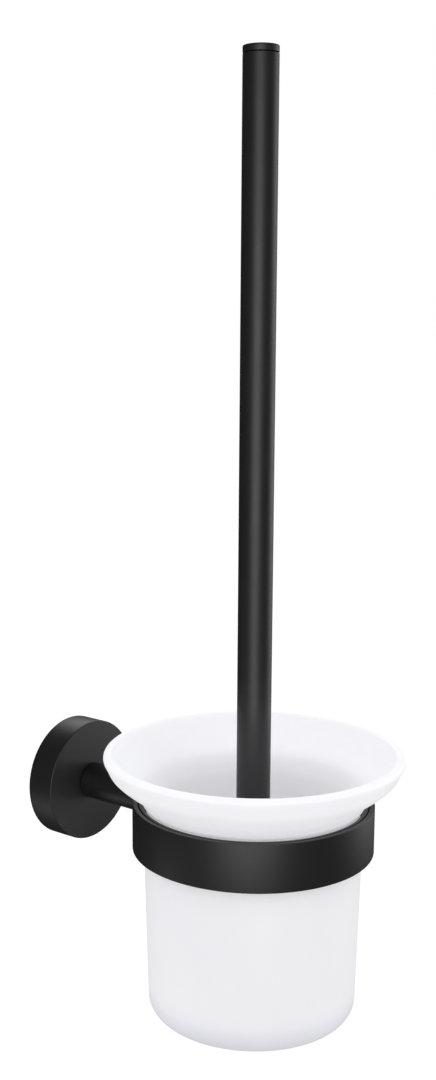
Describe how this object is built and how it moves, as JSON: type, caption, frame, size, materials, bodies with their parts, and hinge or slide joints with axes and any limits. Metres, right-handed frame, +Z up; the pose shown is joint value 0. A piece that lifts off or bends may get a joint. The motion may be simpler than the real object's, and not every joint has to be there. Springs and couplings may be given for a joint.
{
  "type": "toilet brush holder",
  "caption": "Wall-mounted toilet brush holder: round rosette, arm and ring carry a flared frosted glass cup with a slim rod-handled brush standing in it.",
  "frame": {"origin": "centre of the round back face, on the wall, level with the arm's axis", "axes": "+Y into the wall, square to it; +Z up along the brush handle; +X to the right seen from the room"},
  "size_m": [0.1236, 0.1653, 0.389],
  "materials": {
    "black_powder": "matte black powder coat",
    "zinc_casting": "raw die-cast zinc",
    "bright_steel": "stainless fastener",
    "black_plastic": "moulded, satin",
    "frosted_glass": "acid-frosted, milky",
    "white_plastic": "moulded, satin",
    "white_nylon": "nylon filament"
  },
  "bodies": {
    "holder": {"wall_plate": "zinc_casting", "rosette": "black_powder", "grub_screw": "bright_steel", "arm": "black_powder", "arm_washer": "bright_steel", "arm_screw": "bright_steel", "ring": "black_powder", "ring_screw": "bright_steel", "seat_ring": "black_plastic"},
    "cup": {"glass_cup": "frosted_glass"},
    "brush_handle": {"handle_tube": "black_powder", "handle_cap": "black_powder", "handle_insert": "black_plastic"},
    "brush_head": {"brush_stud": "bright_steel", "brush_core": "white_plastic", "side_bristles": "white_nylon", "end_bristles": "white_nylon"}
  },
  "joints": [
    {"name": "cup_lift", "type": "slide", "parent": "holder", "child": "cup", "axis": [0, 0, 1], "range_m": [0, 0.12]},
    {"name": "brush_lift", "type": "slide", "parent": "cup", "child": "brush_handle", "axis": [0, 0, 1], "range_m": [0, 0.13]},
    {"name": "head_unscrew", "type": "hinge", "parent": "brush_handle", "child": "brush_head", "pos_m": [0, -0.1035, 0], "axis": [0, 0, 1], "continuous": true}
  ]
}
